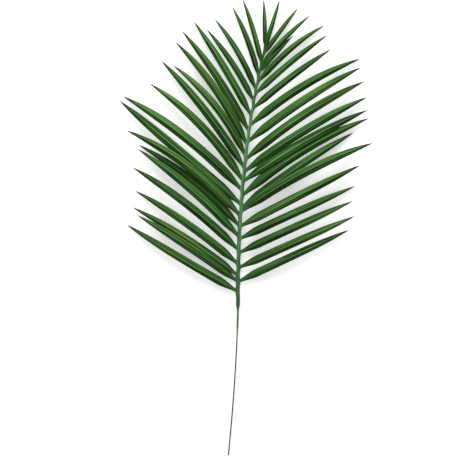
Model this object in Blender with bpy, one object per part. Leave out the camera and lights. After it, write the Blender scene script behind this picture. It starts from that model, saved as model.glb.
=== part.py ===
# Artificial palm frond on a coated wire stem, lying face up on a surface.
# One plastic moulding (petiole, rachis and leaflets) is pushed onto a plastic-coated steel wire.
#
# Frame: metres, +Z up. The origin is the middle of the small flat under the petiole, on the surface.
# +Y runs from the stem's cut end towards the frond's tip, +X to the right seen from above.
# The named sizes are in millimetres, and MM turns them into metres.

from math import pi
from random import Random

import bmesh
import bpy
import numpy as np

MM = 0.001

# Rachis, the frond's midrib. It leans to the right and arches off the surface.
RACHIS_LENGTH = 290.0
RACHIS_LEAN = 31.0
RACHIS_LEAN_POWER = 2.2
RACHIS_ARCH = 11.0
RACHIS_ARCH_START = 12.0
RACHIS_ARCH_POWER = 0.9
RACHIS_RADIUS_BASE = 2.35
RACHIS_RADIUS_TIP = 1.35
RACHIS_RADIUS_POWER = 1.8
RACHIS_RINGS_FROM = 8.0
RACHIS_RINGS_TO = 291.5
RACHIS_RINGS = 36

# Underside flat of the rachis and petiole: the section is round down to this angle below its middle.
FLAT_ANGLE = 50.0
ROUND_ANGLE = 75.0
SECTION_SIDES = 12

# Petiole: a full round shank, a short taper and a thin neck that grips the wire.
SHANK_START = -3.5
TAPER_START = -12.5
NECK_MOUTH = -32.0
NECK_RADIUS = 1.15
NECK_RINGS = 4
TAPER_RINGS = 5
SOCKET_RADIUS = 0.92
SOCKET_TOP = 2.0
SOCKET_RINGS = 6

# Stem wire: a steel core in a plastic sleeve, bent a little sideways and lying on its cut end.
WIRE_END = -177.5
WIRE_TOP = 1.5
WIRE_SIDEWAYS = -11.0
WIRE_SIDEWAYS_POWER = 1.6
WIRE_FALL_POWER = 1.3
SLEEVE_RADIUS = 0.72
SLEEVE_BORE = 0.45
CORE_RADIUS = 0.35
WIRE_SIDES = 8
WIRE_STEPS = 18

# Leaflets. Each row is the place of its root along the rachis (mm), its length from root to tip (mm),
# the angle between its chord and the X axis (degrees) and how far it bends from root to tip (degrees).
RIGHT_LEAFLETS = (
    (21, 139, 25, 2), (37, 144, 24, 2), (54, 142, 24.5, 2), (70, 145, 24.5, 2), (84, 153, 27, 3),
    (101, 169, 27.5, 17), (105, 154, 34, 8), (119, 169, 31.5, 20), (135, 164, 30, 12), (146, 164, 31.5, 12),
    (160, 162, 33.5, 15), (180, 154, 33.5, 11), (199, 147, 31.5, 19), (218, 112, 37.5, 6),
    (235, 106, 39.5, 9), (248, 100, 41, 20), (260, 57, 47.5, 5), (268, 79, 45.5, 10),
    (281, 65, 53.5, 2), (288, 57, 73, -2),
)
LEFT_LEAFLETS = (
    (10, 147, 31, -2), (21, 137, 33.5, 8), (28, 143, 33, 12), (41, 144, 35.5, 13), (57, 153, 38, 15),
    (72, 152, 41, 15), (84, 148, 39, 20), (96, 161, 37, 26), (109, 182, 40.5, 1), (125, 173, 38.5, 18),
    (135, 154, 46.5, 26), (150, 155, 52.5, 13), (163, 133, 52, 27), (176, 143, 55.5, 20),
    (192, 137, 56.5, 13), (210, 126, 59, 6), (227, 98, 57, 13), (240, 93, 60, 16), (256, 84, 69.5, 12),
    (271, 75, 73.5, 8), (289, 54, 88.5, 2),
)
LEAFLET_TIMES = (0.0, 0.045, 0.1, 0.18, 0.28, 0.4, 0.52, 0.64, 0.76, 0.87, 0.95, 1.0)

# Width of a leaflet: a narrow neck at the root, the widest place near a third, a drawn-out tip.
WIDTH_FOR_LENGTH = 0.048
WIDTH_LEAST = 2.4
NECK_SHARE = 0.34
NECK_END = 0.17
WIDEST_AT = 0.3
TAPER_LEAST = 1.8
TAPER_FOR_LENGTH = 0.011
TIP_WIDTH = 0.8

# Blade: a ridge along the middle, both halves falling away from it, arched upwards.
BLADE_THICKNESS = 0.7
BLADE_FALL = 0.4
BLADE_RISE = 0.075
BLADE_RISE_SPREAD = 0.018
BLADE_ROLL = 10.0
ROOT_HEIGHT = 0.25
TIP_LIFT = 9.0
LEAST_LIFT_SHARE = 0.15
RESTING_EVERY = 3
SEED = 5

# Edges sharper than these angles stay sharp in the shading (degrees).
MOULDED_EDGE = 35.0
WIRE_EDGE = 50.0

# Materials: colour, roughness, metallic.
LEAF_GREEN = ((0.045, 0.115, 0.028), 0.45, 0.0)
SLEEVE_GREEN = ((0.035, 0.06, 0.035), 0.5, 0.0)
STEEL = ((0.45, 0.45, 0.44), 0.35, 1.0)


def clear_scene():
    for thing in list(bpy.data.objects):
        bpy.data.objects.remove(thing, do_unlink=True)


def plain_material(name, finish):
    colour, roughness, metallic = finish
    material = bpy.data.materials.new(name)
    material.use_nodes = True
    shader = material.node_tree.nodes["Principled BSDF"]
    shader.inputs["Base Color"].default_value = (*colour, 1.0)
    shader.inputs["Roughness"].default_value = roughness
    shader.inputs["Metallic"].default_value = metallic
    material.diffuse_color = (*colour, 1.0)
    return material


def smooth_step(value):
    value = np.clip(value, 0.0, 1.0)
    return value * value * (3.0 - 2.0 * value)


def rachis_radius(y):
    """Radius of the moulding: neck, taper, shank, then a slow fall towards the rachis's tip."""
    along = np.clip(y / RACHIS_LENGTH, 0.0, 1.0)
    body = RACHIS_RADIUS_BASE + (RACHIS_RADIUS_TIP - RACHIS_RADIUS_BASE) * along ** RACHIS_RADIUS_POWER
    taper = smooth_step((y - TAPER_START) / (SHANK_START - TAPER_START))
    return NECK_RADIUS + (body - NECK_RADIUS) * taper


def shank_height():
    """Height of the petiole's middle, with its underside flat on the surface."""
    return RACHIS_RADIUS_BASE * np.sin(np.radians(FLAT_ANGLE))


def moulding_axis(y):
    """Middle line of the rachis above the origin, and of the petiole and wire below it."""
    up = np.clip(y / RACHIS_LENGTH, 0.0, None)
    down = np.clip(y / WIRE_END, 0.0, None)
    x = RACHIS_LEAN * up ** RACHIS_LEAN_POWER + WIRE_SIDEWAYS * down ** WIRE_SIDEWAYS_POWER
    along = np.clip((y - RACHIS_ARCH_START) / (RACHIS_LENGTH - RACHIS_ARCH_START), 0.0, 1.0)
    arch = RACHIS_ARCH * 0.5 * (1.0 - np.cos(2.0 * pi * along ** RACHIS_ARCH_POWER))
    fall = np.clip((y - NECK_MOUTH) / (WIRE_END - NECK_MOUTH), 0.0, 1.0)
    z = shank_height() + arch - (shank_height() - SLEEVE_RADIUS) * fall ** WIRE_FALL_POWER
    return np.stack([x, y + 0.0 * x, z], axis=-1)


def axis_frames(stations, axis):
    """Points, sideways directions and upward directions along an axis that runs mostly along Y."""
    points = axis(stations)
    half_step = 0.5
    tangent = axis(stations + half_step) - axis(stations - half_step)
    tangent /= np.linalg.norm(tangent, axis=1, keepdims=True)
    side = np.cross(tangent, (0.0, 0.0, 1.0))
    side /= np.linalg.norm(side, axis=1, keepdims=True)
    upward = np.cross(side, tangent)
    return points, side, upward


def round_rings(stations, radii, angles):
    """One ring of points round the moulding's axis for each station."""
    points, side, upward = axis_frames(stations, moulding_axis)
    turn = np.radians(angles)
    across = np.cos(turn)[:, :, None] * side[:, None, :]
    above = np.sin(turn)[:, :, None] * upward[:, None, :]
    return points[:, None, :] + radii[:, None, None] * (across + above)


def section_angles(flatness, sides):
    """Angles of a section's points: evenly round, or with the lowest arc cut off by a flat chord."""
    start = -ROUND_ANGLE + (ROUND_ANGLE - FLAT_ANGLE) * flatness
    sweep = 180.0 - 2.0 * start
    steps = np.arange(sides) / (sides - 1)
    return start[:, None] + sweep[:, None] * steps[None, :]


def even_angles(count, sides):
    return np.tile(np.arange(sides) * 360.0 / sides, (count, 1))


def add_skin(work, rings):
    """Joins rings of points into a closed skin and caps its two ends."""
    verts = [[work.verts.new(point * MM) for point in ring] for ring in rings]
    for lower, upper in zip(verts, verts[1:]):
        for here in range(len(lower)):
            there = (here + 1) % len(lower)
            work.faces.new((lower[here], upper[here], upper[there]))
            work.faces.new((lower[here], upper[there], lower[there]))
    for ring, flipped in ((verts[0], False), (verts[-1], True)):
        work.faces.new(ring[::-1] if flipped else ring)
    return verts


def finish_mesh(name, work, material):
    bmesh.ops.recalc_face_normals(work, faces=work.faces)
    mesh = bpy.data.meshes.new(name)
    work.to_mesh(mesh)
    work.free()
    mesh.materials.append(material)
    thing = bpy.data.objects.new(name, mesh)
    bpy.context.collection.objects.link(thing)
    return thing


def shade_round(thing, degrees):
    thing.data.shade_smooth()
    thing.data.set_sharp_from_angle(angle=np.radians(degrees))


def make_moulding_stem(material):
    """Petiole and rachis in one skin, folded in at the neck's mouth to line the wire's socket."""
    inner = np.linspace(SOCKET_TOP, NECK_MOUTH, SOCKET_RINGS)
    lining = round_rings(
        inner,
        np.full(len(inner), SOCKET_RADIUS),
        section_angles(np.zeros(len(inner)), SECTION_SIDES),
    )
    neck = np.linspace(NECK_MOUTH, TAPER_START, NECK_RINGS)
    taper = np.linspace(TAPER_START, SHANK_START, TAPER_RINGS)[1:]
    rachis = np.linspace(RACHIS_RINGS_FROM, RACHIS_RINGS_TO, RACHIS_RINGS)
    outer = np.concatenate([neck, taper, rachis])
    flatness = smooth_step((outer - TAPER_START) / (SHANK_START - TAPER_START))
    skin = round_rings(outer, rachis_radius(outer), section_angles(flatness, SECTION_SIDES))
    work = bmesh.new()
    add_skin(work, np.concatenate([lining, skin]))
    return finish_mesh("frond", work, material)


def leaflet_width(times, length):
    """Width along a leaflet: it opens out of its neck and tapers to its tip."""
    widest = WIDTH_LEAST + WIDTH_FOR_LENGTH * length
    opening = NECK_SHARE + (1.0 - NECK_SHARE) * smooth_step(times / NECK_END)
    past = np.clip((times - WIDEST_AT) / (1.0 - WIDEST_AT), 0.0, 1.0)
    power = TAPER_LEAST + TAPER_FOR_LENGTH * length
    return TIP_WIDTH + (widest - TIP_WIDTH) * opening * (1.0 - past ** power)


def leaflet_line(root, side, length, lean, bow, rise, tip_height, times):
    """Middle line of a leaflet: a flat arc whose chord has the given lean, over a parabola of height."""
    curve = np.radians(bow)
    start = np.radians(lean) + curve / 2.0
    reach = length / (2.0 * np.sin(curve / 2.0))
    heading = start - curve * times
    x = root[0] + side * reach * (np.sin(start) - np.sin(heading))
    y = root[1] + reach * (np.cos(heading) - np.cos(start))
    z = root[2] + (tip_height - root[2]) * times + 4.0 * rise * length * times * (1.0 - times)
    return np.stack([x, y, z], axis=-1), heading


def leaflet_rings(side, row, draw, resting):
    """Six-sided sections of one leaflet, from inside the rachis to the tip."""
    place, length, lean, bow = row
    rise = BLADE_RISE + BLADE_RISE_SPREAD * draw.uniform(-1.0, 1.0)
    roll = np.radians(BLADE_ROLL * draw.uniform(-1.0, 1.0))
    lift = TIP_LIFT * draw.uniform(LEAST_LIFT_SHARE, 1.0)
    times = np.array(LEAFLET_TIMES)
    width = leaflet_width(times, length)
    root = moulding_axis(np.array([place]))[0]
    root[2] += ROOT_HEIGHT * rachis_radius(place)
    tip_height = BLADE_THICKNESS / 2.0 + BLADE_FALL * TIP_WIDTH / 2.0 + (0.0 if resting else lift)
    line, heading = leaflet_line(root, side, length, lean, bow, rise, tip_height, times)
    across = np.stack([-side * np.sin(heading), np.cos(heading), 0.0 * heading], axis=-1)
    tilt = roll * np.sin(pi * times)
    half = width[:, None] / 2.0
    margin_up = across * half * np.cos(tilt)[:, None]
    margin_up[:, 2] += width / 2.0 * np.sin(tilt)
    fall = np.zeros_like(line)
    fall[:, 2] = -BLADE_FALL * width / 2.0
    skin = np.array([0.0, 0.0, BLADE_THICKNESS / 2.0])
    edges = (line + margin_up + fall, line, line - margin_up + fall)
    upper = [edge + skin for edge in edges]
    lower = [edge - skin for edge in edges[::-1]]
    return np.stack(upper + lower, axis=1)


def make_leaflet(name, rings, material):
    """Closed blade from its sections, with the same diagonals on the upper and the lower face."""
    work = bmesh.new()
    verts = [[work.verts.new(point * MM) for point in ring] for ring in rings]
    for near, far in zip(verts, verts[1:]):
        for here in range(6):
            there = (here + 1) % 6
            if here < 3:
                work.faces.new((near[here], far[here], far[there]))
                work.faces.new((near[here], far[there], near[there]))
            else:
                work.faces.new((near[here], far[here], near[there]))
                work.faces.new((far[here], far[there], near[there]))
    for ring in (verts[0], verts[-1]):
        work.faces.new((ring[0], ring[1], ring[4], ring[5]))
        work.faces.new((ring[1], ring[2], ring[3], ring[4]))
    return finish_mesh(name, work, material)


def make_frond(material):
    """All leaflets joined to the rachis by one union."""
    frond = make_moulding_stem(material)
    blades = bpy.data.collections.new("blades")
    bpy.context.scene.collection.children.link(blades)
    draw = Random(SEED)
    for side, rows in ((1.0, RIGHT_LEAFLETS), (-1.0, LEFT_LEAFLETS)):
        for number, row in enumerate(rows):
            resting = number % RESTING_EVERY == 0 or row is rows[-1]
            rings = leaflet_rings(side, row, draw, resting)
            blade = make_leaflet("blade", rings, material)
            bpy.context.collection.objects.unlink(blade)
            blades.objects.link(blade)
    union = frond.modifiers.new("leaflets", "BOOLEAN")
    union.operation = "UNION"
    union.operand_type = "COLLECTION"
    union.collection = blades
    union.solver = "EXACT"
    joined = bpy.data.meshes.new_from_object(frond.evaluated_get(bpy.context.evaluated_depsgraph_get()))
    frond.modifiers.remove(union)
    frond.data = joined
    for blade in list(blades.objects):
        bpy.data.objects.remove(blade, do_unlink=True)
    bpy.data.collections.remove(blades)
    shade_round(frond, MOULDED_EDGE)
    return frond


def make_sleeve(material):
    """Plastic sleeve: a tube with its ends open, where the core shows."""
    stations = np.linspace(WIRE_TOP, WIRE_END, WIRE_STEPS)
    angles = even_angles(WIRE_STEPS, WIRE_SIDES)
    outer = round_rings(stations, np.full(WIRE_STEPS, SLEEVE_RADIUS), angles)
    inner = round_rings(stations, np.full(WIRE_STEPS, SLEEVE_BORE), angles)
    work = bmesh.new()
    loops = np.concatenate([outer, inner[::-1]])
    verts = [[work.verts.new(point * MM) for point in ring] for ring in loops]
    for near, far in zip(verts, verts[1:] + verts[:1]):
        for here in range(WIRE_SIDES):
            there = (here + 1) % WIRE_SIDES
            work.faces.new((near[here], far[here], far[there], near[there]))
    sleeve = finish_mesh("stem_coating", work, material)
    shade_round(sleeve, WIRE_EDGE)
    return sleeve


def make_core(material):
    """Steel core, flush with both ends of the sleeve."""
    stations = np.linspace(WIRE_TOP, WIRE_END, WIRE_STEPS)
    rings = round_rings(stations, np.full(WIRE_STEPS, CORE_RADIUS), even_angles(WIRE_STEPS, WIRE_SIDES))
    work = bmesh.new()
    add_skin(work, rings)
    core = finish_mesh("stem_core", work, material)
    shade_round(core, WIRE_EDGE)
    return core


clear_scene()
make_frond(plain_material("leaf green plastic", LEAF_GREEN))
make_sleeve(plain_material("sleeve green plastic", SLEEVE_GREEN))
make_core(plain_material("steel", STEEL))
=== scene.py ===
# Artificial palm frond on a coated wire stem, lying face up: its finish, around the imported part.
from math import pi, radians, tau
from random import Random

import bpy
import numpy as np
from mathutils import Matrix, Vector


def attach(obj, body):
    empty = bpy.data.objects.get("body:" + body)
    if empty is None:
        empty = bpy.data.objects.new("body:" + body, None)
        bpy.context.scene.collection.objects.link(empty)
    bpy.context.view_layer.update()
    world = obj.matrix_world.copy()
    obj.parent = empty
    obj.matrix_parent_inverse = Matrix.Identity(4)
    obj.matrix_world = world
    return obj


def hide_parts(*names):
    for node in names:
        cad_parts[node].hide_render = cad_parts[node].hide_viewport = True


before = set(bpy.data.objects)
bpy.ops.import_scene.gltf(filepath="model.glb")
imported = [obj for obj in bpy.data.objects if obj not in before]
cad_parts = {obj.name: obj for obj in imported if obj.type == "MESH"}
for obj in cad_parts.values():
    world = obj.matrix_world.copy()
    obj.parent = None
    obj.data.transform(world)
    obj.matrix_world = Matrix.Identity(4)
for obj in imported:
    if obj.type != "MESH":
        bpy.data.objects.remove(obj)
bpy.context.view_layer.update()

mm = 0.001  # all sizes below are in millimetres and degrees, in the part's own frame


# Helpers for meshes

def smoothStep(value):  # rises from 0 to 1 and is flat at both ends
    value = np.clip(value, 0.0, 1.0)
    return value * value * (3.0 - 2.0 * value)


def hump(value, middle, width):  # bell curve: 1 at the middle, near 0 two widths away
    return np.exp(-((value - middle) / width) ** 2)


# Each ring's points are joined to the next ring's by quads. An open tube's end rings are closed by a fan
# of triangles to a middle point, and a closed tube's last ring is joined to its first.
def tubeFaces(rings, around, turned, closed):
    ring = np.arange(rings if closed else rings - 1)[:, None]
    spot = np.arange(around)[None, :]
    after = (spot + 1) % around
    near = ring * around
    far = (ring + 1) % rings * around
    quads = np.stack([near + spot, near + after, far + after, far + spot], axis=-1).reshape(-1, 4)
    fans = np.zeros((0, 3), dtype=int)
    if not closed:
        first, last, end = rings * around, rings * around + 1, (rings - 1) * around
        fans = np.concatenate([
            np.stack([np.full(around, first), after[0], spot[0]], axis=-1),
            np.stack([np.full(around, last), end + spot[0], end + after[0]], axis=-1),
        ])
    return (quads[:, ::-1], fans[:, ::-1]) if turned else (quads, fans)


# A tube as points, uv, quads and fans. The middle point of an open end is the mean of its ring.
def tubeBody(rings, uv, turned, closed=False):
    points = rings.reshape(-1, 3)
    flat = uv.reshape(-1, 2)
    if not closed:
        points = np.concatenate([points, rings[:1].mean(axis=1), rings[-1:].mean(axis=1)])
        flat = np.concatenate([flat, uv[:1].mean(axis=1), uv[-1:].mean(axis=1)])
    return points, flat, *tubeFaces(len(rings), rings.shape[1], turned, closed)


# Joins tubes into one piece. Each corner gets its point's uv, and each point its tube's tone.
def makePiece(name, bodies, material, sharpAngle, tones=None):
    starts = np.cumsum([0] + [len(body[0]) for body in bodies])
    points = np.concatenate([body[0] for body in bodies]) * mm
    flat = np.concatenate([body[1] for body in bodies])
    quads = np.concatenate([body[2] + start for body, start in zip(bodies, starts)])
    fans = np.concatenate([body[3] + start for body, start in zip(bodies, starts)])
    corners = np.concatenate([quads.ravel(), fans.ravel()])
    faceStarts = np.concatenate([np.arange(len(quads)) * 4, quads.size + np.arange(len(fans)) * 3])
    mesh = bpy.data.meshes.new(name)
    mesh.vertices.add(len(points))
    mesh.vertices.foreach_set("co", points.astype(np.float32).ravel())
    mesh.loops.add(len(corners))
    mesh.loops.foreach_set("vertex_index", corners.astype(np.int32))
    mesh.polygons.add(len(faceStarts))
    mesh.polygons.foreach_set("loop_start", faceStarts.astype(np.int32))
    mesh.update(calc_edges=True)
    layer = mesh.uv_layers.new(name="surfaceUv")
    layer.data.foreach_set("uv", flat[corners].astype(np.float32).ravel())
    if tones is not None:
        tone = np.concatenate([np.tile(value, (len(body[0]), 1)) for value, body in zip(tones, bodies)])
        attribute = mesh.attributes.new("bladeTone", "FLOAT_COLOR", "POINT")
        attribute.data.foreach_set("color", tone.astype(np.float32).ravel())
    mesh.materials.append(material)
    mesh.shade_smooth()
    mesh.set_sharp_from_angle(angle=radians(sharpAngle))
    piece = bpy.data.objects.new(name, mesh)
    bpy.context.scene.collection.objects.link(piece)
    print(name, len(quads) * 2 + len(fans), "triangles")
    return piece


def placePiece(piece, node):
    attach(piece, "root")
    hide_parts(node)


# Helpers for materials

def fillSockets(tree, node, sockets):  # a socket takes a constant, or another node's output as a link
    for name, value in sockets.items():
        if isinstance(value, bpy.types.NodeSocket):
            tree.links.new(value, node.inputs[name])
        else:
            node.inputs[name].default_value = value
    return node


def addNode(tree, kind, sockets=None, **settings):
    node = tree.nodes.new(kind)
    for name, value in settings.items():
        setattr(node, name, value)
    return fillSockets(tree, node, sockets or {})


def useGroup(tree, group, sockets):
    return fillSockets(tree, addNode(tree, "ShaderNodeGroup", node_tree=group), sockets)


def reckon(tree, operation, first, second=0.0, third=0.0):
    return addNode(tree, "ShaderNodeMath", {0: first, 1: second, 2: third}, operation=operation).outputs[0]


def product(tree, first, *others):
    for other in others:
        first = reckon(tree, "MULTIPLY", first, other)
    return first


def ramp(tree, value, low, high, fromValue=0.0, toValue=1.0):  # smooth rise between two values
    sockets = {"Value": value, "From Min": low, "From Max": high, "To Min": fromValue, "To Max": toValue}
    return addNode(tree, "ShaderNodeMapRange", sockets, interpolation_type="SMOOTHSTEP").outputs["Result"]


def layColours(tree, colour, layers):  # each layer covers what is below it by its share
    for share, above in layers:
        sockets = {0: share, 6: colour, 7: above}
        colour = addNode(tree, "ShaderNodeMix", sockets, data_type="RGBA").outputs[2]
    return colour


def noise(tree, vector, scale, detail, roughness):
    sockets = {"Vector": vector, "Scale": scale, "Detail": detail, "Roughness": roughness}
    return addNode(tree, "ShaderNodeTexNoise", sockets).outputs["Fac"]


def ownUv(tree):
    uv = addNode(tree, "ShaderNodeUVMap", uv_map="surfaceUv").outputs[0]
    return addNode(tree, "ShaderNodeSeparateXYZ", {0: uv}).outputs


def objectPlace(tree):
    return addNode(tree, "ShaderNodeTexCoord").outputs["Object"]


def newGroup(name, inputs, outputs):  # an input has its usual number, or None where it is a place
    tree = bpy.data.node_groups.new(name, "ShaderNodeTree")
    for title, value in inputs.items():
        kind = "NodeSocketVector" if value is None else "NodeSocketFloat"
        socket = tree.interface.new_socket(title, in_out="INPUT", socket_type=kind)
        if value is not None:
            socket.default_value = value
    for title in outputs:
        tree.interface.new_socket(title, in_out="OUTPUT", socket_type="NodeSocketFloat")
    return tree, tree.nodes.new("NodeGroupInput").outputs, tree.nodes.new("NodeGroupOutput")


def newMaterial(name, sockets):  # plain values are set on the shader's own sockets
    material = bpy.data.materials.new(name)
    material.use_nodes = True
    shader = material.node_tree.nodes["Principled BSDF"]
    return material, material.node_tree, fillSockets(material.node_tree, shader, sockets)


def finishSurface(tree, shader, colour, roughness, relief, strength, depth):
    sockets = {"Strength": strength, "Distance": depth * mm, "Height": relief}
    bump = addNode(tree, "ShaderNodeBump", sockets).outputs[0]
    fillSockets(tree, shader, {"Base Color": colour, "Roughness": roughness, "Normal": bump})


def rgba(red, green, blue):  # a colour given as it looks on screen, 0 to 255
    seen = np.array([red, green, blue]) / 255.0
    linear = np.where(seen <= 0.04045, seen / 12.92, ((seen + 0.055) / 1.055) ** 2.4)
    return (*[float(value) for value in linear], 1.0)


# Effects shared by the materials

# Fine pitting of moulded plastic. The cloud and a little of the fine noise give the roughness.
def makeMouldedGrain():
    grain = dict(
        fineDetail=3.0, cloudDetail=4.0, coarseness=0.6,
        cloudShare=0.7, fineShare=0.3, sumFrom=0.3, sumTo=0.7,
    )
    tree, given, made = newGroup("mouldedGrain", {
        "Place": None, "Fine scale": 2500.0, "Cloud scale": 90.0, "Roughness from": 0.4, "Roughness to": 0.6,
    }, ["Height", "Cloud", "Roughness"])
    fine = noise(tree, given["Place"], given["Fine scale"], grain["fineDetail"], grain["coarseness"])
    cloud = noise(tree, given["Place"], given["Cloud scale"], grain["cloudDetail"], grain["coarseness"])
    both = reckon(tree, "MULTIPLY_ADD", cloud, grain["cloudShare"], product(tree, fine, grain["fineShare"]))
    rough = addNode(tree, "ShaderNodeMapRange", {
        "Value": both, "From Min": grain["sumFrom"], "From Max": grain["sumTo"],
        "To Min": given["Roughness from"], "To Max": given["Roughness to"],
    }).outputs["Result"]
    fillSockets(tree, made, {"Height": fine, "Cloud": cloud, "Roughness": rough})
    return tree


# Streaks that run along a piece: noise read at places squeezed along its length, broad and fine.
def makeLengthStreaks():
    streak = dict(detail=2.0, broadCoarseness=0.55, fineCoarseness=0.6)
    tree, given, made = newGroup("lengthStreaks", {
        "Across": 0.0, "Along": 0.0, "Seed": 0.0, "Broad": 1.6, "Fine": 9.0,
    }, ["Broad streak", "Fine streak"])
    sockets = {"X": given["Across"], "Y": given["Along"], "Z": given["Seed"]}
    place = addNode(tree, "ShaderNodeCombineXYZ", sockets).outputs[0]
    fillSockets(tree, made, {
        "Broad streak": noise(tree, place, given["Broad"], streak["detail"], streak["broadCoarseness"]),
        "Fine streak": noise(tree, place, given["Fine"], streak["detail"], streak["fineCoarseness"]),
    })
    return tree


mouldedGrain = makeMouldedGrain()
lengthStreaks = makeLengthStreaks()
print("shared effects ready")


def placeGrain(tree, scales):
    return useGroup(tree, mouldedGrain, {"Place": objectPlace(tree), **scales}).outputs


def placeStreaks(tree, across, along, seed, stretch, scales):  # stretch is for across and along
    sockets = {"Across": product(tree, across, stretch[0]), "Along": product(tree, along, stretch[1])}
    return useGroup(tree, lengthStreaks, {**sockets, "Seed": seed, **scales}).outputs


# Midrib, petiole and neck: one moulding with a flat underside

moulding = dict(
    length=290.0, lean=31.0, leanPower=2.2,            # the midrib's length and its lean to the right
    arch=11.0, archStart=12.0, archPower=0.9,          # how high it stands off the surface
    baseRadius=2.35, tipRadius=1.35, radiusPower=1.8,
    tipPast=1.0, tipCap=0.12,                          # the rounded tip, and where its fan closes it
    shankStart=-3.5, taperStart=-12.5, neckMouth=-32.0, neckRadius=1.15, neckFrom=0.05,
    socketRadius=0.92, socketTop=2.0,
    mouthRadius=0.8, mouthDepth=2.0, lip=0.25,         # the socket's narrower mouth and rounded lip
    flatAngle=50.0, roundAngle=75.0,                   # where the round section meets its flat underside
    knuckle=0.75, knuckleLength=3.0,                   # swelling where a leaflet leaves the midrib
    knuckleAfter=1.2, knuckleSideways=0.9, knuckleUpwards=0.35, knucklePower=1.5,
    zigzag=0.42, zigzagLength=4.5, zigzagAfter=1.5,    # how the midrib sways towards each leaflet
    around=48, midribRings=520, neckRings=40, socketRings=40, roundingRings=8, sharpAngle=42.0,
)
wire = dict(
    top=1.5, end=-177.5, sideways=-11.0, sidewaysPower=1.6, fallPower=1.3,
    sleeveRadius=0.72, sleeveBore=0.45, coreRadius=0.35, edge=0.06, edgeSteps=(0.0, 0.35, 0.75, 1.0),
    sleeveSides=32, sleeveRings=150, coreSides=24, coreRings=60, sharpAngle=50.0,
)

# Leaflets: place along the midrib, length, lean of the chord, and bend from root to tip

leaflets = dict(
    right=(
        (21, 139, 25, 2), (37, 144, 24, 2), (54, 142, 24.5, 2), (70, 145, 24.5, 2), (84, 153, 27, 3),
        (101, 169, 27.5, 17), (105, 154, 34, 8), (119, 169, 31.5, 20), (135, 164, 30, 12),
        (146, 164, 31.5, 12), (160, 162, 33.5, 15), (180, 154, 33.5, 11), (199, 147, 31.5, 19),
        (218, 112, 37.5, 6), (235, 106, 39.5, 9), (248, 100, 41, 20), (260, 57, 47.5, 5),
        (268, 79, 45.5, 10), (281, 65, 53.5, 2), (288, 57, 73, -2),
    ),
    left=(
        (10, 147, 31, -2), (21, 137, 33.5, 8), (28, 143, 33, 12), (41, 144, 35.5, 13), (57, 153, 38, 15),
        (72, 152, 41, 15), (84, 148, 39, 20), (96, 161, 37, 26), (109, 182, 40.5, 1), (125, 173, 38.5, 18),
        (135, 154, 46.5, 26), (150, 155, 52.5, 13), (163, 133, 52, 27), (176, 143, 55.5, 20),
        (192, 137, 56.5, 13), (210, 126, 59, 6), (227, 98, 57, 13), (240, 93, 60, 16), (256, 84, 69.5, 12),
        (271, 75, 73.5, 8), (289, 54, 88.5, 2),
    ),
    seed=5, looksSeed=40, restingEvery=3,              # every third tip rests on the surface
    rise=0.075, riseSpread=0.018, roll=10.0, tipLift=9.0, leastLift=0.15, rootHeight=0.25,
    solidThickness=0.7, solidTip=0.8,                  # the solid's blade, which sets the height of a tip
    widthLeast=2.4, widthForLength=0.048, neckShare=0.34, neckEnd=0.17, widestAt=0.3,
    taperLeast=1.8, taperForLength=0.011, tipWidth=0.5,
    fall=0.4, ridgeRound=0.05,                         # slope of the fold, and how round its top is
    keel=0.16, keelWidth=0.07, rib=0.035, ribsPerHalf=4.0, ribFade=0.1,
    marginThickness=0.3, ridgeThickness=0.72, rootThickness=1.5, rootFade=0.1,
    thinPower=0.8, narrowShare=0.45,                   # how the blade thins to its margins and its tip
    wave=0.22, waves=1.6, curl=0.18, curlFrom=-0.4, curlTo=1.0, curlPower=4,
    stations=76, stationsEven=0.5, upper=41, lower=15, leastHeight=0.02, sharpAngle=50.0,
)


# How far the midrib sways towards the leaflets that leave it, right as plus: a limited sum of bell curves.
def swayAt(y):
    sway = np.zeros_like(y)
    for side, title in ((1.0, "right"), (-1.0, "left")):
        places = np.array([row[0] for row in leaflets[title]], dtype=float) + moulding["zigzagAfter"]
        sway += side * hump(y[:, None], places[None, :], moulding["zigzagLength"]).sum(axis=1)
    return moulding["zigzag"] * np.tanh(sway)


# Middle of the midrib above the origin, and of the petiole and wire below. Sideways it is a power of the
# distance. Upwards it is one wave of a cosine along the midrib, and down the wire a power of the distance.
def stemLine(y):
    y = np.asarray(y, dtype=float)
    up = np.clip(y / moulding["length"], 0.0, None)
    down = np.clip(y / wire["end"], 0.0, None)
    x = moulding["lean"] * up ** moulding["leanPower"] + wire["sideways"] * down ** wire["sidewaysPower"]
    along = np.clip((y - moulding["archStart"]) / (moulding["length"] - moulding["archStart"]), 0.0, 1.0)
    arch = moulding["arch"] * 0.5 * (1.0 - np.cos(tau * along ** moulding["archPower"]))
    shank = moulding["baseRadius"] * np.sin(radians(moulding["flatAngle"]))
    fall = np.clip((y - moulding["neckMouth"]) / (wire["end"] - moulding["neckMouth"]), 0.0, 1.0)
    z = shank + arch - (shank - wire["sleeveRadius"]) * fall ** wire["fallPower"]
    return np.stack([x, y, z], axis=-1)


# Radius of the moulding: a power of the distance along the midrib, and a smooth step down to the neck.
def stemRadius(y):
    m = moulding
    along = np.clip(y / m["length"], 0.0, 1.0)
    body = m["baseRadius"] + (m["tipRadius"] - m["baseRadius"]) * along ** m["radiusPower"]
    taper = smoothStep((y - m["taperStart"]) / (m["shankStart"] - m["taperStart"]))
    return m["neckRadius"] + (body - m["neckRadius"]) * taper


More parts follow.
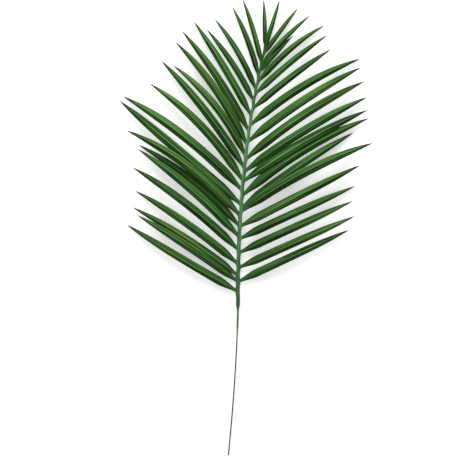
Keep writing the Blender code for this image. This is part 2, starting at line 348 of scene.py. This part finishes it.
# Rings square to the middle line: sideways times cosine plus upwards times sine, times the radius. The
# line's direction is read half a millimetre to either side.
def sectionRings(y, radii, angles):
    points = stemLine(y)
    tangent = stemLine(y + 0.5) - stemLine(y - 0.5)
    tangent /= np.linalg.norm(tangent, axis=1, keepdims=True)
    sideways = np.cross(tangent, (0.0, 0.0, 1.0))
    sideways /= np.linalg.norm(sideways, axis=1, keepdims=True)
    upwards = np.cross(sideways, tangent)
    turn = np.radians(angles)[:, :, None]
    reach = np.cos(turn) * sideways[:, None, :] + np.sin(turn) * upwards[:, None, :]
    return points[:, None, :] + radii[:, :, None] * reach


# A round section with a flat chord below, carried along the stem line. Its radius swells as a bell curve
# towards each leaflet. Its rings start inside the socket, turn over the lip and end in the rounded tip.
def makeRachis(material):
    m = moulding
    lining = np.linspace(m["socketTop"], m["neckMouth"], m["socketRings"])
    narrowing = smoothStep((m["neckMouth"] + m["mouthDepth"] - lining) / m["mouthDepth"])
    liningRadius = m["socketRadius"] + (m["mouthRadius"] - m["socketRadius"]) * narrowing
    lip = np.linspace(0.0, pi / 2.0, m["roundingRings"])[1:-1]
    lipRadius = m["mouthRadius"] + (m["neckRadius"] - m["mouthRadius"]) * (1.0 - np.cos(lip))
    neck = np.linspace(m["neckMouth"] + m["neckFrom"], m["taperStart"], m["neckRings"])
    taper = np.linspace(m["taperStart"], m["shankStart"], m["neckRings"])[1:]
    midrib = np.linspace(m["shankStart"], m["length"] + m["tipPast"], m["midribRings"])[1:]
    outer = np.concatenate([neck, taper, midrib])
    closing = np.linspace(0.0, pi / 2.0, m["roundingRings"])[1:]
    tipY = m["length"] + m["tipPast"] + m["tipRadius"] * np.sin(closing)
    tipRadius = m["tipRadius"] * np.maximum(np.cos(closing), m["tipCap"])
    y = np.concatenate([lining, m["neckMouth"] - m["lip"] * np.sin(2.0 * lip), outer, tipY])
    radius = np.concatenate([liningRadius, lipRadius, stemRadius(outer), tipRadius])
    outside = np.concatenate([np.zeros(len(lining) + len(lip)), np.ones(len(outer)), np.cos(closing)])

    flatness = smoothStep((y - m["taperStart"]) / (m["shankStart"] - m["taperStart"])) * (outside > 0)
    start = -m["roundAngle"] + (m["roundAngle"] - m["flatAngle"]) * flatness
    steps = np.arange(m["around"]) / (m["around"] - 1)
    angles = start[:, None] + (180.0 - 2.0 * start)[:, None] * steps[None, :]
    radii = np.tile(radius[:, None], (1, m["around"]))
    turn = np.radians(angles)
    for side, title in ((1.0, "right"), (-1.0, "left")):
        facing = side * np.cos(turn) * m["knuckleSideways"] + np.sin(turn) * m["knuckleUpwards"]
        facing = np.clip(facing, 0.0, None) ** m["knucklePower"]
        for row in leaflets[title]:
            size = m["knuckle"] * stemRadius(row[0]) / m["baseRadius"]
            swelling = hump(y, row[0] + m["knuckleAfter"], m["knuckleLength"])[:, None]
            radii += outside[:, None] * size * swelling * facing
    rings = sectionRings(y, radii, angles)
    rings[:, :, 0] += (swayAt(y) * outside)[:, None]
    uv = np.stack(np.broadcast_arrays(steps[None, :], (y / m["length"])[:, None]), axis=-1)
    piece = makePiece("frondRachis", [tubeBody(rings, uv, True)], material, m["sharpAngle"])
    placePiece(piece, "frond")


# Width opens out of the neck by a smooth step, and past the widest place falls as a power of the distance.
def leafletWidth(times, length):
    f = leaflets
    widest = f["widthLeast"] + f["widthForLength"] * length
    opening = f["neckShare"] + (1.0 - f["neckShare"]) * smoothStep(times / f["neckEnd"])
    past = np.clip((times - f["widestAt"]) / (1.0 - f["widestAt"]), 0.0, 1.0)
    power = f["taperLeast"] + f["taperForLength"] * length
    return f["tipWidth"] + (widest - f["tipWidth"]) * opening * (1.0 - past ** power)


# A blade along the arc that its chord and bend give, over a parabola of height. Across it the height is a
# rounded fold with a keel, cosine ribs, a wave and a curl, and the underside lies a thickness below.
def leafletBody(side, row, draw, wander, resting):
    f = leaflets
    place, length, lean, bend = row
    rise = f["rise"] + f["riseSpread"] * draw.uniform(-1.0, 1.0)
    roll = radians(f["roll"] * draw.uniform(-1.0, 1.0))
    lift = f["tipLift"] * draw.uniform(f["leastLift"], 1.0)
    times = np.linspace(0.0, 1.0, f["stations"])
    times = f["stationsEven"] * times + (1.0 - f["stationsEven"]) * smoothStep(times)
    root = stemLine([place])[0]
    root[0] += swayAt(np.array([float(place)]))[0]
    root[2] += f["rootHeight"] * stemRadius(place)
    tipHeight = f["solidThickness"] / 2.0 + f["fall"] * f["solidTip"] / 2.0 + (0.0 if resting else lift)
    curve = radians(bend)
    start = radians(lean) + curve / 2.0
    reach = length / (2.0 * np.sin(curve / 2.0))
    heading = start - curve * times
    x = root[0] + side * reach * (np.sin(start) - np.sin(heading))
    y = root[1] + reach * (np.cos(heading) - np.cos(start))
    z = root[2] + (tipHeight - root[2]) * times + 4.0 * rise * length * times * (1.0 - times)
    line = np.stack([x, y, z], axis=-1)
    across = np.stack([-side * np.sin(heading), np.cos(heading), 0.0 * heading], axis=-1)
    half = leafletWidth(times, length)[:, None] / 2.0

    s = np.concatenate([np.linspace(1.0, -1.0, f["upper"]), np.linspace(-1.0, 1.0, f["lower"])])[None, :]
    isUpper = (np.arange(s.size) < f["upper"])[None, :]
    away = np.abs(s)
    size = half / half.max()
    fold = -f["fall"] * half * (np.sqrt(away ** 2 + f["ridgeRound"] ** 2) - f["ridgeRound"])
    keel = f["keel"] * hump(s, 0.0, f["keelWidth"]) * size
    ribbed = smoothStep(away / f["ribFade"]) * smoothStep((1.0 - away) / f["ribFade"])
    ribs = f["rib"] * np.cos(tau * f["ribsPerHalf"] * away) * ribbed * size
    ripple = np.sin(tau * f["waves"] * times + wander.uniform(0.0, tau)) * np.sin(pi * times)
    wave = f["wave"] * ripple[:, None] * s * away ** 2
    curled = f["curl"] * size * away ** f["curlPower"] * wander.uniform(f["curlFrom"], f["curlTo"])
    fading = smoothStep(times / f["rootFade"])
    ridge = f["rootThickness"] + (f["ridgeThickness"] - f["rootThickness"]) * fading
    thinned = (1.0 - away) ** f["thinPower"] * (f["narrowShare"] + (1.0 - f["narrowShare"]) * size)
    thickness = f["marginThickness"] + (ridge[:, None] - f["marginThickness"]) * thinned
    height = f["solidThickness"] / 2.0 + fold + wave + curled + (keel + ribs) * isUpper - thickness * ~isUpper

    tilt = (roll * np.sin(pi * times))[:, None]
    flatways = s * half * np.cos(tilt) - height * np.sin(tilt)
    rings = line[:, None, :] + flatways[:, :, None] * across[:, None, :]
    rings[:, :, 2] += s * half * np.sin(tilt) + height * np.cos(tilt)
    rings[:, :, 2] = np.maximum(rings[:, :, 2], f["leastHeight"])
    uv = np.stack(np.broadcast_arrays((s + 1.0) / 2.0, times[:, None]), axis=-1)
    return tubeBody(rings, uv, side < 0.0)


# Both rows of leaflets. Rise, roll and lift are drawn as for the solids, and the looks have draws of
# their own.
def makeLeaflets(material):
    f = leaflets
    draw = Random(f["seed"])
    for side, title in ((1.0, "right"), (-1.0, "left")):
        rows = f[title]
        wander = Random(f["looksSeed"] + len(rows))
        bodies, tones = [], []
        for number, row in enumerate(rows):
            resting = number % f["restingEvery"] == 0 or row is rows[-1]
            bodies.append(leafletBody(side, row, draw, wander, resting))
            tones.append((wander.random(), wander.random(), wander.random(), 1.0))
        piece = makePiece("leaflets" + title.capitalize(), bodies, material, f["sharpAngle"], tones)
        placePiece(piece, "frond")


# Sleeve: a tube whose ends are eased as a quarter circle. Core: a round bar, flush with both its ends.
def makeStem(sleeveMaterial, coreMaterial):
    w = wire
    ease = np.array(w["edgeSteps"])
    middle = np.linspace(w["top"], w["end"], w["sleeveRings"])[1:-1]
    y = np.concatenate([w["top"] - w["edge"] * ease, middle, w["end"] + w["edge"] * ease[::-1]])
    radius = np.full(len(y), w["sleeveRadius"])
    rounding = w["sleeveRadius"] - w["edge"] * (1.0 - np.sqrt(ease * (2.0 - ease)))
    radius[:len(ease)] = rounding
    radius[-len(ease):] = rounding[::-1]
    around = np.arange(w["sleeveSides"]) / w["sleeveSides"]
    angles = np.tile(around * 360.0, (len(y), 1))
    outer = sectionRings(y, np.tile(radius[:, None], (1, w["sleeveSides"])), angles)
    inner = sectionRings(y, np.full(angles.shape, w["sleeveBore"]), angles)
    lengths = np.concatenate([y, y[::-1]]) / w["end"]
    uv = np.stack(np.broadcast_arrays(around[None, :], lengths[:, None]), axis=-1)
    body = tubeBody(np.concatenate([outer, inner[::-1]]), uv, False, closed=True)
    sleeve = makePiece("stemSleeve", [body], sleeveMaterial, w["sharpAngle"])
    placePiece(sleeve, "stem_coating")

    y = np.linspace(w["top"], w["end"], w["coreRings"])
    around = np.arange(w["coreSides"]) / w["coreSides"]
    angles = np.tile(around * 360.0, (len(y), 1))
    rings = sectionRings(y, np.full(angles.shape, w["coreRadius"]), angles)
    uv = np.stack(np.broadcast_arrays(around[None, :], (y / w["end"])[:, None]), axis=-1)
    core = makePiece("stemCore", [tubeBody(rings, uv, False)], coreMaterial, w["sharpAngle"])
    placePiece(core, "stem_core")


# Materials. A pair in a look is where a smooth step starts and ends, and a further pair its lowest and
# highest share.

# Moulded green blade. Across it s runs from -1 at the lower margin to 1 at the upper one, along it the uv
# runs from root to tip. Noise streaks, bands by those two and the blade's own tone are laid over each other.
# Among these bands are painted light and shade: painted shade on the lower half of the fold, painted light on
# its upper half, painted highlights along the ridge and the upper margin, and light stripes that are partly
# painted highlights, all stronger towards the tip.
def makeLeafPlastic():
    look = dict(
        deep=rgba(8, 44, 3), middle=rgba(31, 86, 15), light=rgba(98, 152, 78),
        bluish=rgba(22, 90, 40), yellowish=rgba(92, 118, 32), olive=rgba(48, 68, 12),
        # the ridge colour is a painted highlight along the fold's ridge
        # the upper edge colour is a painted highlight along the upper margin
        ridge=rgba(136, 178, 108), margin=rgba(6, 26, 4), upperEdgeHighlight=rgba(118, 144, 68),
        tip=rgba(64, 48, 46), root=rgba(62, 110, 60),
        stretch=(1.3, 0.9), streaks={"Broad": 1.9, "Fine": 7.0}, seeds=60.0,
        stripeStretch=(1.1, 0.5), stripes={"Broad": 3.6}, stripeSeed=17.0,
        grain={"Fine scale": 1800.0, "Cloud scale": 70.0, "Roughness from": 0.36, "Roughness to": 0.56},
        broad=(0.4, 0.6), fine=(0.4, 0.68), fineShare=0.2, lit=(0.08, 0.55, 0.45, 0.9),
        oliveAlong=(0.5, 0.12), oliveTone=(0.2, 0.8), oliveShare=0.5,
        blueTone=(0.5, 0.15), blueShare=0.6,
        yellowFrom=(0.3, 0.72), yellowUntil=(0.96, 0.84), yellowTone=(0.35, 0.9), yellowStreak=(0.42, 0.62),
        yellowShare=0.6,
        # light stripes: partly a streaked pattern in the plastic, partly painted highlights
        highlightStripe=(0.52, 0.63), stripeTone=(0.0, 0.9, 0.35, 0.85), darkLine=(0.48, 0.39, 0.0, 0.9),
        # painted shade on the lower half of the fold, painted light on its upper half and a painted highlight
        # along its ridge
        paintedShadeLowerHalf=(0.0, -0.4, 0.0, 0.4), paintedLightUpperHalf=(0.05, 0.35, 0.0, 0.14), ridgeHighlightBand=(0.13, 0.0, 0.0, 0.75),
        ragged=0.24, marginBand=(0.76, 1.0, 0.0, 0.8),
        # painted highlight along the upper margin
        edgeHighlightBand=(0.8, 0.9), edgeHighlightAlong=(0.15, 0.5, 0.0, 0.9), edgeHighlightStreak=(0.35, 0.5, 0.4, 1.0),
        rootRagged=0.15, rootBand=(0.085, 0.02, 0.0, 0.8), tipRagged=0.12, tipBand=(0.9, 0.965),
        ribTurns=75.0, ribRelief=0.5, streakRelief=0.8, grainRelief=0.25, bump=0.3, bumpDepth=0.12,
    )
    material, tree, shader = newMaterial("leafPlastic", {"IOR": 1.46, "Specular IOR Level": 0.12})
    uv = ownUv(tree)
    along = uv["Y"]
    s = reckon(tree, "MULTIPLY_ADD", uv["X"], 2.0, -1.0)
    away = reckon(tree, "ABSOLUTE", s)
    tone = addNode(tree, "ShaderNodeAttribute", attribute_name="bladeTone").outputs["Color"]
    tone = addNode(tree, "ShaderNodeSeparateColor", {0: tone}).outputs
    seed = product(tree, tone["Blue"], look["seeds"])
    streaks = placeStreaks(tree, s, along, seed, look["stretch"], look["streaks"])
    stripeSeed = reckon(tree, "ADD", seed, look["stripeSeed"])
    stripes = placeStreaks(tree, s, along, stripeSeed, look["stripeStretch"], look["stripes"])["Broad streak"]
    grain = placeGrain(tree, look["grain"])

    def band(value, name):
        return ramp(tree, value, *look[name])

    streak = streaks["Broad streak"]
    broad = band(streak, "broad")
    fine = product(tree, band(streaks["Fine streak"], "fine"), look["fineShare"])
    # the lit share scales the painted light and painted highlights along the blade, least at the root
    lit = band(along, "lit")
    olive = product(tree, band(along, "oliveAlong"), band(tone["Red"], "oliveTone"), look["oliveShare"])
    blue = product(tree, band(tone["Red"], "blueTone"), broad, look["blueShare"])
    yellow = product(
        tree, band(along, "yellowFrom"), band(along, "yellowUntil"), band(tone["Red"], "yellowTone"),
        band(streak, "yellowStreak"), look["yellowShare"])
    # light stripes: a streaked pattern that is also painted highlight, stronger towards the tip
    highlightStripe = product(tree, band(stripes, "highlightStripe"), lit, band(tone["Green"], "stripeTone"))
    ragged = reckon(tree, "MULTIPLY_ADD", streaks["Fine streak"], look["ragged"], -look["ragged"] / 2.0)
    # a painted highlight along the upper margin, the side that faces the light
    edge = product(
        tree, band(reckon(tree, "ADD", s, ragged), "edgeHighlightBand"), band(along, "edgeHighlightAlong"),
        band(streak, "edgeHighlightStreak"))
    green = layColours(tree, look["deep"], [
        (broad, look["middle"]),
        (olive, look["olive"]),
        (blue, look["bluish"]),
        (yellow, look["yellowish"]),
        # light stripes, partly painted highlights
        (highlightStripe, look["light"]),
        (fine, look["light"]),
        (band(stripes, "darkLine"), look["deep"]),
        # painted shade on the lower half, then painted light on the upper half and a painted highlight along
        # the ridge
        (band(s, "paintedShadeLowerHalf"), look["deep"]),
        (product(tree, band(s, "paintedLightUpperHalf"), lit), look["light"]),
        (product(tree, band(away, "ridgeHighlightBand"), lit), look["ridge"]),
        (band(reckon(tree, "ADD", away, ragged), "marginBand"), look["margin"]),
        # painted highlight along the upper margin
        (edge, look["upperEdgeHighlight"]),
        (band(reckon(tree, "MULTIPLY_ADD", ragged, look["rootRagged"], along), "rootBand"), look["root"]),
        (band(reckon(tree, "MULTIPLY_ADD", ragged, look["tipRagged"], along), "tipBand"), look["tip"]),
    ])

    ribs = reckon(tree, "SINE", product(tree, away, look["ribTurns"]))
    relief = product(tree, streaks["Fine streak"], look["streakRelief"])
    relief = reckon(tree, "MULTIPLY_ADD", ribs, look["ribRelief"], relief)
    relief = reckon(tree, "MULTIPLY_ADD", grain["Height"], look["grainRelief"], relief)
    finishSurface(tree, shader, green, grain["Roughness"], relief, look["bump"], look["bumpDepth"])
    return material


# Bluish green midrib and petiole with faint streaks along it, dimmer at both its ends and olive in clouds.
# Along it the uv is 0 at the origin and 1 at the tip, and below 0 on the petiole and neck.
def makeRachisPlastic():
    look = dict(
        deep=rgba(52, 98, 54), light=rgba(108, 156, 108), dim=rgba(40, 82, 38), olive=rgba(72, 88, 44),
        neck=rgba(100, 112, 62), shade=rgba(26, 58, 28),
        stretch=(5.0, 9.0), streaks={"Broad": 1.2, "Fine": 6.0}, seed=3.0,
        grain={"Fine scale": 1500.0, "Cloud scale": 110.0, "Roughness from": 0.4, "Roughness to": 0.58},
        streak=(0.32, 0.68), dimBelow=(0.3, 0.05, 0.0, 0.7), dimAbove=(0.6, 1.0, 0.0, 0.9),
        shadeBand=(0.62, 0.8, 0.0, 0.5), oliveBand=(0.58, 0.8, 0.0, 0.35), neckBand=(-0.02, -0.06),
        grainRelief=0.3, bump=0.3, bumpDepth=0.15,
    )
    material, tree, shader = newMaterial("rachisPlastic", {"IOR": 1.46, "Specular IOR Level": 0.16})
    uv = ownUv(tree)
    along = uv["Y"]
    streaks = placeStreaks(tree, uv["X"], along, look["seed"], look["stretch"], look["streaks"])
    grain = placeGrain(tree, look["grain"])
    below, above = ramp(tree, along, *look["dimBelow"]), ramp(tree, along, *look["dimAbove"])
    colour = layColours(tree, look["deep"], [
        (ramp(tree, streaks["Broad streak"], *look["streak"]), look["light"]),
        (reckon(tree, "MAXIMUM", below, above), look["dim"]),
        (ramp(tree, streaks["Fine streak"], *look["shadeBand"]), look["shade"]),
        (ramp(tree, grain["Cloud"], *look["oliveBand"]), look["olive"]),
        (ramp(tree, along, *look["neckBand"]), look["neck"]),
    ])
    relief = reckon(tree, "MULTIPLY_ADD", grain["Height"], look["grainRelief"], streaks["Fine streak"])
    finishSurface(tree, shader, colour, grain["Roughness"], relief, look["bump"], look["bumpDepth"])
    return material


# Dark grey-green drawn sleeve with long marks and scuffed, paler patches.
def makeSleevePlastic():
    look = dict(
        base=rgba(54, 72, 54), pale=rgba(92, 108, 88), dark=rgba(34, 46, 36),
        stretch=(3.0, 12.0), streaks={"Broad": 1.5, "Fine": 8.0}, seed=8.0,
        grain={"Fine scale": 2600.0, "Cloud scale": 160.0, "Roughness from": 0.38, "Roughness to": 0.6},
        streak=(0.35, 0.65), scuff=(0.56, 0.7, 0.0, 0.6), grainRelief=0.4, bump=0.3, bumpDepth=0.08,
    )
    material, tree, shader = newMaterial("sleevePlastic", {"IOR": 1.5, "Specular IOR Level": 0.45})
    uv = ownUv(tree)
    streaks = placeStreaks(tree, uv["X"], uv["Y"], look["seed"], look["stretch"], look["streaks"])
    grain = placeGrain(tree, look["grain"])
    colour = layColours(tree, look["dark"], [
        (ramp(tree, streaks["Broad streak"], *look["streak"]), look["base"]),
        (ramp(tree, grain["Cloud"], *look["scuff"]), look["pale"]),
    ])
    relief = reckon(tree, "MULTIPLY_ADD", grain["Height"], look["grainRelief"], streaks["Fine streak"])
    finishSurface(tree, shader, colour, grain["Roughness"], relief, look["bump"], look["bumpDepth"])
    return material


# Drawn steel with fine lines along it and dull spots.
def makeWireSteel():
    look = dict(
        bright=rgba(176, 174, 168), dull=rgba(120, 114, 104), spots=(0.4, 0.7),
        stretch=(9.0, 6.0), streaks={"Fine": 10.0}, seed=1.0,
        grain={"Fine scale": 5000.0, "Cloud scale": 900.0, "Roughness from": 0.25, "Roughness to": 0.5},
        bump=0.25, bumpDepth=0.03,
    )
    material, tree, shader = newMaterial("wireSteel", {"Metallic": 1.0})
    uv = ownUv(tree)
    streaks = placeStreaks(tree, uv["X"], uv["Y"], look["seed"], look["stretch"], look["streaks"])
    grain = placeGrain(tree, look["grain"])
    colour = layColours(tree, look["bright"], [(ramp(tree, grain["Cloud"], *look["spots"]), look["dull"])])
    relief = streaks["Fine streak"]
    finishSurface(tree, shader, colour, grain["Roughness"], relief, look["bump"], look["bumpDepth"])
    return material


# Studio: pale floor that glows a little, soft lights and a camera that looks straight down

studio = dict(
    floorHalf=25000.0, floorDrop=0.3, floorGlow=0.4,
    floorColour=rgba(246, 246, 246), floorCloud=rgba(250, 250, 249),
    cloudNoise=(1.4, 3.0, 0.5), cloudBand=(0.3, 0.7),  # scale, detail and roughness, and where it shows
    cameraX=-7.4, cameraY=79.0, viewWidth=530.0, lens=85.0, sensor=36.0,
    worldStrength=0.5,
    lights=(  # name, place, width and power
        ("skyPanel", (0.0, 300.0, 2600.0), 2600.0, 4.0),
        ("upperPanel", (-250.0, 1500.0, 1150.0), 1000.0, 22.0),
    ),
    lightsAim=(0.0, 80.0, 0.0),
)


def addToScene(name, data):
    thing = bpy.data.objects.new(name, data)
    bpy.context.scene.collection.objects.link(thing)
    return thing


# A flat square floor just under the part, a white world, and square lights turned to their aim. The
# camera's height is the width that it sees times lens over sensor.
def makeStudio():
    half = studio["floorHalf"] * mm
    corners = [(-half, -half), (half, -half), (half, half), (-half, half)]
    mesh = bpy.data.meshes.new("floor")
    mesh.from_pydata([(x, y, -studio["floorDrop"] * mm) for x, y in corners], [], [(0, 1, 2, 3)])
    material, tree, shader = newMaterial("paleFloor", {
        "Roughness": 0.75, "Specular IOR Level": 0.2,
        "Emission Color": (1.0, 1.0, 1.0, 1.0), "Emission Strength": studio["floorGlow"],
    })
    cloud = ramp(tree, noise(tree, objectPlace(tree), *studio["cloudNoise"]), *studio["cloudBand"])
    colour = layColours(tree, studio["floorColour"], [(cloud, studio["floorCloud"])])
    fillSockets(tree, shader, {"Base Color": colour})
    mesh.materials.append(material)
    addToScene("floor", mesh)

    aim = Vector(studio["lightsAim"])
    for name, place, width, power in studio["lights"]:
        lamp = bpy.data.lights.new(name, "AREA")
        lamp.shape = "SQUARE"
        lamp.size = width * mm
        lamp.energy = power
        light = addToScene(name, lamp)
        light.location = Vector(place) * mm
        light.rotation_euler = (aim - Vector(place)).to_track_quat("-Z", "Y").to_euler()

    world = bpy.data.worlds.new("studioWorld")
    world.use_nodes = True
    background = world.node_tree.nodes["Background"]
    background.inputs["Color"].default_value = (1.0, 1.0, 1.0, 1.0)
    background.inputs["Strength"].default_value = studio["worldStrength"]
    bpy.context.scene.world = world
    bpy.context.scene.view_settings.view_transform = "Standard"

    eye = bpy.data.cameras.new("camera")
    eye.lens = studio["lens"]
    eye.sensor_width = studio["sensor"]
    camera = addToScene("camera", eye)
    distance = studio["viewWidth"] * studio["lens"] / studio["sensor"]
    camera.location = Vector((studio["cameraX"], studio["cameraY"], distance)) * mm
    bpy.context.scene.camera = camera
    print("studio ready")


makeStudio()
makeRachis(makeRachisPlastic())
makeLeaflets(makeLeafPlastic())
makeStem(makeSleevePlastic(), makeWireSteel())

bpy.context.view_layer.update()
